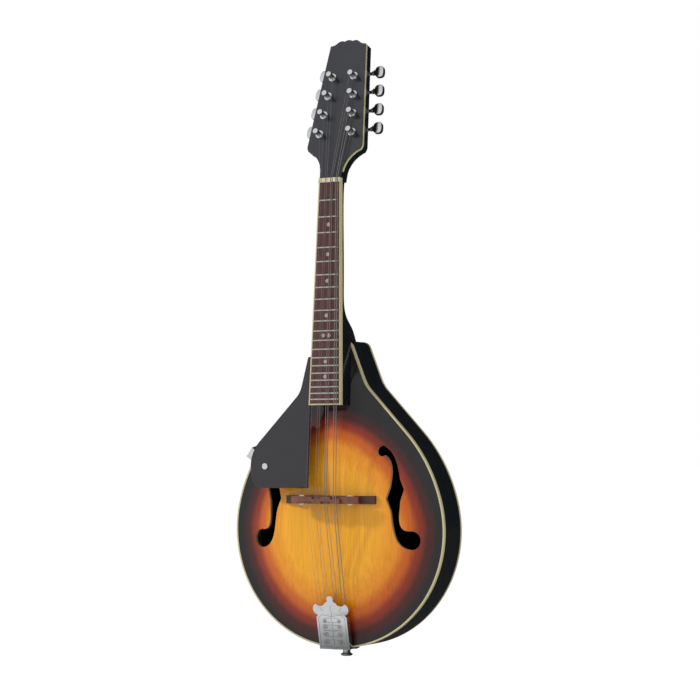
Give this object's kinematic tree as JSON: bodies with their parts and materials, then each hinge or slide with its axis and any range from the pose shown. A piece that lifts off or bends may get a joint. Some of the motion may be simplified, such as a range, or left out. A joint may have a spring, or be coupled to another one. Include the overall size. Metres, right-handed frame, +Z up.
{
  "type": "mandolin",
  "caption": "Teardrop carved-top mandolin with f-shaped sound holes, floating bridge, covered tailpiece, worm-geared tuners, pickguard and strings in pairs, left-handed.",
  "frame": {"origin": "where the end pin leaves the tail, on the centre line", "axes": "+Z up the centre line to the headstock, -Y out of the strings' side, +X to the right seen from the front"},
  "size_m": [0.26, 0.1001, 0.692],
  "materials": {
    "spruce_top": "gloss sunburst lacquer over close-grained spruce",
    "black_lacquer": "gloss black lacquer over maple",
    "head_face": "gloss black face",
    "cream_binding": "aged cream celluloid",
    "inner_wood": "bare wood",
    "rosewood": "oiled rosewood",
    "ebony": "dark stained hardwood",
    "nickel_silver": "polished fret wire",
    "pearl": "pearl",
    "bone": "polished cream bone",
    "steel": "plain steel",
    "string_steel": "bright string wire",
    "chrome_hardware": "bright plated",
    "wheel_nickel": "nickel plated, knurled edge",
    "tailpiece_nickel": "bright plated, engraved",
    "guard_plastic": "glossy charcoal sheet"
  },
  "bodies": {
    "instrument": {"back_binding": "cream_binding", "back_lining": "inner_wood", "back_plate": "black_lacquer", "bridge_base": "ebony", "bridge_studs": "steel", "clamp_screw": "chrome_hardware", "end_pin": "chrome_hardware", "fretboard": "rosewood", "fretboard_binding": "cream_binding", "fretboard_riser": "black_lacquer", "frets": "nickel_silver", "headstock_binding": "cream_binding", "headstock_veneer": "head_face", "neck": "black_lacquer", "neck_block": "inner_wood", "neck_rod": "steel", "nut": "bone", "pickguard": "guard_plastic", "pickguard_clamp": "chrome_hardware", "pickguard_pins": "chrome_hardware", "pickguard_screw": "chrome_hardware", "position_dots": "pearl", "rib_left": "black_lacquer", "rib_right": "black_lacquer", "soundboard": "spruce_top", "strings_a": "string_steel", "strings_d": "string_steel", "strings_e": "string_steel", "strings_g": "string_steel", "tail_block": "inner_wood", "tailpiece_base": "tailpiece_nickel", "tailpiece_screws": "chrome_hardware", "tone_bars": "inner_wood", "top_binding": "cream_binding", "top_lining": "inner_wood", "tuner_bushings": "chrome_hardware", "tuner_plate_left": "chrome_hardware", "tuner_plate_right": "chrome_hardware", "tuner_plate_screws": "chrome_hardware"},
    "key_1": {"tuner_key_1": "chrome_hardware"},
    "post_1": {"string_post_1": "chrome_hardware"},
    "key_2": {"tuner_key_2": "chrome_hardware"},
    "post_2": {"string_post_2": "chrome_hardware"},
    "key_3": {"tuner_key_3": "chrome_hardware"},
    "post_3": {"string_post_3": "chrome_hardware"},
    "key_4": {"tuner_key_4": "chrome_hardware"},
    "post_4": {"string_post_4": "chrome_hardware"},
    "key_5": {"tuner_key_5": "chrome_hardware"},
    "post_5": {"string_post_5": "chrome_hardware"},
    "key_6": {"tuner_key_6": "chrome_hardware"},
    "post_6": {"string_post_6": "chrome_hardware"},
    "key_7": {"tuner_key_7": "chrome_hardware"},
    "post_7": {"string_post_7": "chrome_hardware"},
    "key_8": {"tuner_key_8": "chrome_hardware"},
    "post_8": {"string_post_8": "chrome_hardware"},
    "thumbwheel_left": {"thumbwheel_left": "wheel_nickel"},
    "thumbwheel_right": {"thumbwheel_right": "wheel_nickel"},
    "saddle": {"saddle": "rosewood"},
    "tailpiece_cover": {"tailpiece_cover": "tailpiece_nickel"}
  },
  "joints": [
    {"name": "key_1_turn", "type": "hinge", "parent": "instrument", "child": "key_1", "pos_m": [-0.01953, 0.00007, 0.57557], "axis": [0.995, -0.0274, -0.0956], "continuous": true},
    {"name": "post_1_turn", "type": "hinge", "parent": "instrument", "child": "post_1", "pos_m": [-0.02047, -0.02053, 0.57174], "axis": [0, 0.9613, -0.2756], "continuous": true},
    {"name": "key_2_turn", "type": "hinge", "parent": "instrument", "child": "key_2", "pos_m": [-0.01724, 0.00638, 0.59758], "axis": [0.995, -0.0274, -0.0956], "continuous": true},
    {"name": "post_2_turn", "type": "hinge", "parent": "instrument", "child": "post_2", "pos_m": [-0.01818, -0.01422, 0.59376], "axis": [0, 0.9613, -0.2756], "continuous": true},
    {"name": "key_3_turn", "type": "hinge", "parent": "instrument", "child": "key_3", "pos_m": [-0.01495, 0.01269, 0.61959], "axis": [0.995, -0.0274, -0.0956], "continuous": true},
    {"name": "post_3_turn", "type": "hinge", "parent": "instrument", "child": "post_3", "pos_m": [-0.01589, -0.00791, 0.61577], "axis": [0, 0.9613, -0.2756], "continuous": true},
    {"name": "key_4_turn", "type": "hinge", "parent": "instrument", "child": "key_4", "pos_m": [-0.01266, 0.01901, 0.64161], "axis": [0.995, -0.0274, -0.0956], "continuous": true},
    {"name": "post_4_turn", "type": "hinge", "parent": "instrument", "child": "post_4", "pos_m": [-0.0136, -0.0016, 0.63778], "axis": [0, 0.9613, -0.2756], "continuous": true},
    {"name": "key_5_turn", "type": "hinge", "parent": "instrument", "child": "key_5", "pos_m": [0.01953, 0.00007, 0.57557], "axis": [0.995, 0.0274, 0.0956], "continuous": true},
    {"name": "post_5_turn", "type": "hinge", "parent": "instrument", "child": "post_5", "pos_m": [0.02047, -0.02053, 0.57174], "axis": [0, 0.9613, -0.2756], "continuous": true},
    {"name": "key_6_turn", "type": "hinge", "parent": "instrument", "child": "key_6", "pos_m": [0.01724, 0.00638, 0.59758], "axis": [0.995, 0.0274, 0.0956], "continuous": true},
    {"name": "post_6_turn", "type": "hinge", "parent": "instrument", "child": "post_6", "pos_m": [0.01818, -0.01422, 0.59376], "axis": [0, 0.9613, -0.2756], "continuous": true},
    {"name": "key_7_turn", "type": "hinge", "parent": "instrument", "child": "key_7", "pos_m": [0.01495, 0.01269, 0.61959], "axis": [0.995, 0.0274, 0.0956], "continuous": true},
    {"name": "post_7_turn", "type": "hinge", "parent": "instrument", "child": "post_7", "pos_m": [0.01589, -0.00791, 0.61577], "axis": [0, 0.9613, -0.2756], "continuous": true},
    {"name": "key_8_turn", "type": "hinge", "parent": "instrument", "child": "key_8", "pos_m": [0.01266, 0.01901, 0.64161], "axis": [0.995, 0.0274, 0.0956], "continuous": true},
    {"name": "post_8_turn", "type": "hinge", "parent": "instrument", "child": "post_8", "pos_m": [0.0136, -0.0016, 0.63778], "axis": [0, 0.9613, -0.2756], "continuous": true},
    {"name": "saddle_height", "type": "slide", "parent": "instrument", "child": "saddle", "axis": [0, 1, 0], "range_m": [0, 0.0025]},
    {"name": "thumbwheel_left_turn", "type": "hinge", "parent": "saddle", "child": "thumbwheel_left", "pos_m": [-0.03, -0.0476, 0.16415], "axis": [0, 1, 0], "range_deg": [0, 1286]},
    {"name": "thumbwheel_right_turn", "type": "hinge", "parent": "saddle", "child": "thumbwheel_right", "pos_m": [0.03, -0.0476, 0.16415], "axis": [0, 1, 0], "range_deg": [0, 1286]},
    {"name": "tailpiece_cover_slide", "type": "slide", "parent": "instrument", "child": "tailpiece_cover", "axis": [0, -0.2181, 0.9759], "range_m": [0, 0.012]}
  ],
  "couplings": [
    {"joint": "key_1_turn", "follows": "post_1_turn", "ratio": 15},
    {"joint": "key_2_turn", "follows": "post_2_turn", "ratio": 15},
    {"joint": "key_3_turn", "follows": "post_3_turn", "ratio": 15},
    {"joint": "key_4_turn", "follows": "post_4_turn", "ratio": 15},
    {"joint": "key_5_turn", "follows": "post_5_turn", "ratio": -15},
    {"joint": "key_6_turn", "follows": "post_6_turn", "ratio": -15},
    {"joint": "key_7_turn", "follows": "post_7_turn", "ratio": -15},
    {"joint": "key_8_turn", "follows": "post_8_turn", "ratio": -15},
    {"joint": "thumbwheel_left_turn", "follows": "saddle_height", "rad_per_m": 8976},
    {"joint": "thumbwheel_right_turn", "follows": "saddle_height", "rad_per_m": 8976}
  ]
}
